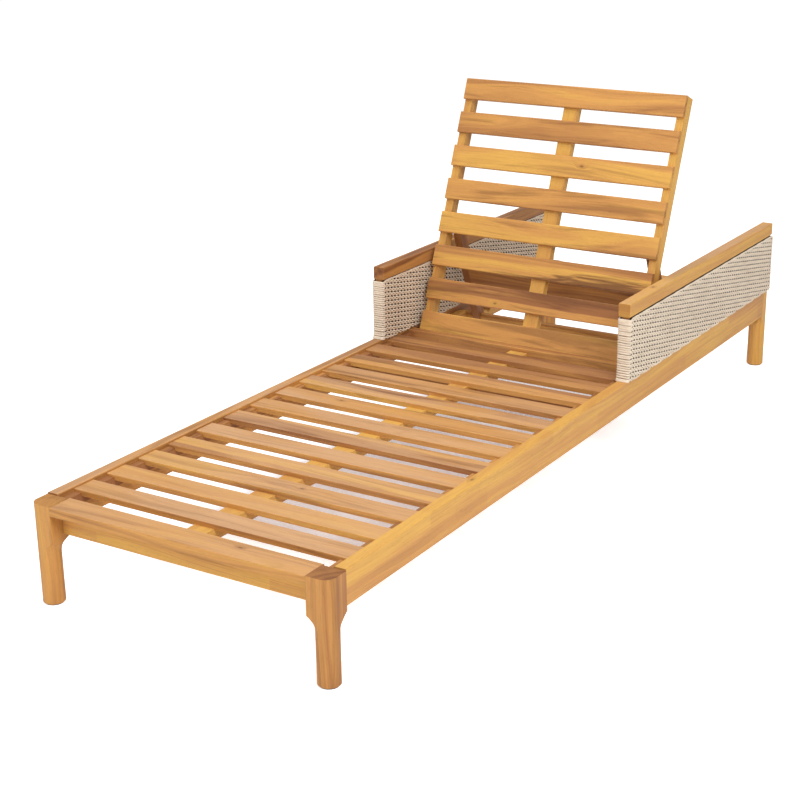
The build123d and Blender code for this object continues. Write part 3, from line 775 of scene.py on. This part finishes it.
def softbox(name, place, target, size, power):
    """Hangs a rectangular light and turns it to its target."""
    light = bpy.data.lights.new(name, "AREA")
    light.shape = "RECTANGLE"
    light.size, light.size_y = size
    light.energy = power
    lamp = bpy.data.objects.new(name, light)
    bpy.context.scene.collection.objects.link(lamp)
    lamp.location = place
    lamp.rotation_euler = (Vector(target) - Vector(place)).to_track_quat("-Z", "Y").to_euler()


class LOUNGER_OT_stage(bpy.types.Operator):
    """Set the floor, the soft light and the camera"""

    bl_idname = "lounger.stage"
    bl_label = "Stage"

    def execute(self, context):
        look = context.scene.lounger_stage
        bpy.ops.mesh.primitive_plane_add(size=FLOOR_SIZE, location=(0, 0, 0))
        floor = context.object
        floor.name = "paper_floor"
        floor.data.materials.append(self.paper(look))
        self.light(context.scene, look)
        self.camera(context.scene, look)
        return {"FINISHED"}

    def paper(self, look):
        """White paper. The camera sees it glow evenly, but for the shade under the seat."""
        finish = Finish("paper_floor")
        fleck = finish.noise(finish.place, 3.0, 2.0)
        paper = finish.scale(look.floor, fleck * 0.02 + 0.99)
        x, y, _ = finish.parts(finish.place)
        outside_x = abs(x - SHADE_MIDDLE[0]) - SHADE_HALF[0]
        outside_y = abs(y - SHADE_MIDDLE[1]) - SHADE_HALF[1]
        shown = finish.blend(outside_x.most(outside_y).step(*SHADE_EDGE), look.floor_shade, (1, 1, 1))
        glow = finish.blend(finish.node("ShaderNodeLightPath"), INDOOR_GLOW, shown)
        finish.surface(
            Base_Color=paper, Roughness=0.9, Specular_IOR_Level=0.0,
            Emission_Color=glow, Emission_Strength=look.floor_glow,
        )
        return finish.material

    def light(self, scene, look):
        """An even room with a white backdrop, and the softboxes."""
        world = bpy.data.worlds.new("white_room")
        world.use_nodes = True
        nodes, links = world.node_tree.nodes, world.node_tree.links
        room, backdrop = nodes["Background"], nodes.new("ShaderNodeBackground")
        for background, strength in ((room, look.room), (backdrop, 1.0)):
            background.inputs["Color"].default_value = (1, 1, 1, 1)
            background.inputs["Strength"].default_value = strength
        seen = nodes.new("ShaderNodeLightPath")
        mix = nodes.new("ShaderNodeMixShader")
        links.new(seen.outputs["Is Camera Ray"], mix.inputs[0])
        links.new(room.outputs[0], mix.inputs[1])
        links.new(backdrop.outputs[0], mix.inputs[2])
        links.new(mix.outputs[0], nodes["World Output"].inputs["Surface"])
        scene.world = world
        scene.view_settings.view_transform = "Standard"
        for lamp in SOFTBOXES:
            softbox(*lamp)

    def camera(self, scene, look):
        """The camera, to the right of the foot end and looking down on the seat."""
        data = bpy.data.cameras.new("camera")
        data.sensor_width = 36
        data.lens = look.lens
        data.shift_x = look.shift
        data.clip_end = 60
        camera = bpy.data.objects.new("camera", data)
        scene.collection.objects.link(camera)
        turn, tilt = look.azimuth, look.elevation
        right = Vector((math.cos(turn), math.sin(turn), 0))
        back = Vector((math.sin(turn) * math.cos(tilt), -math.cos(turn) * math.cos(tilt), math.sin(tilt)))
        up = back.cross(right)
        lean_right = right * math.cos(look.roll) + up * math.sin(look.roll)
        lean_up = up * math.cos(look.roll) - right * math.sin(look.roll)
        matrix = Matrix((lean_right, lean_up, back)).transposed().to_4x4()
        matrix.translation = look.place
        camera.matrix_world = matrix
        scene.camera = camera


# ---- panel and registration ------------------------------------------------------------------


class LOUNGER_PT_panel(bpy.types.Panel):
    """Sizes, colours and steps of the lounger"""

    bl_idname = "LOUNGER_PT_panel"
    bl_label = "Timber sun lounger"
    bl_space_type = "VIEW_3D"
    bl_region_type = "UI"
    bl_category = "Lounger"

    def draw(self, context):
        for step in STEPS:
            self.layout.operator(step.bl_idname)
        for settings in SETTINGS:
            group = getattr(context.scene, settings)
            box = self.layout.box()
            for name in group.__annotations__:
                box.prop(group, name)


SETTINGS = {
    "lounger_timber": TimberSettings,
    "lounger_weave": WeaveSettings,
    "lounger_fittings": FittingSettings,
    "lounger_stage": StageSettings,
}
STEPS = (LOUNGER_OT_timber, LOUNGER_OT_weaving, LOUNGER_OT_fittings, LOUNGER_OT_stage)
CLASSES = (*SETTINGS.values(), *STEPS, LOUNGER_PT_panel)


def register():
    for cls in CLASSES:
        bpy.utils.register_class(cls)
    for name, group in SETTINGS.items():
        setattr(bpy.types.Scene, name, bpy.props.PointerProperty(type=group))


def unregister():
    for name in SETTINGS:
        delattr(bpy.types.Scene, name)
    for cls in reversed(CLASSES):
        bpy.utils.unregister_class(cls)


def main():
    register()
    bpy.ops.lounger.timber()
    bpy.ops.lounger.weaving()
    bpy.ops.lounger.fittings()
    bpy.ops.lounger.stage()


if __name__ == "__main__":
    main()
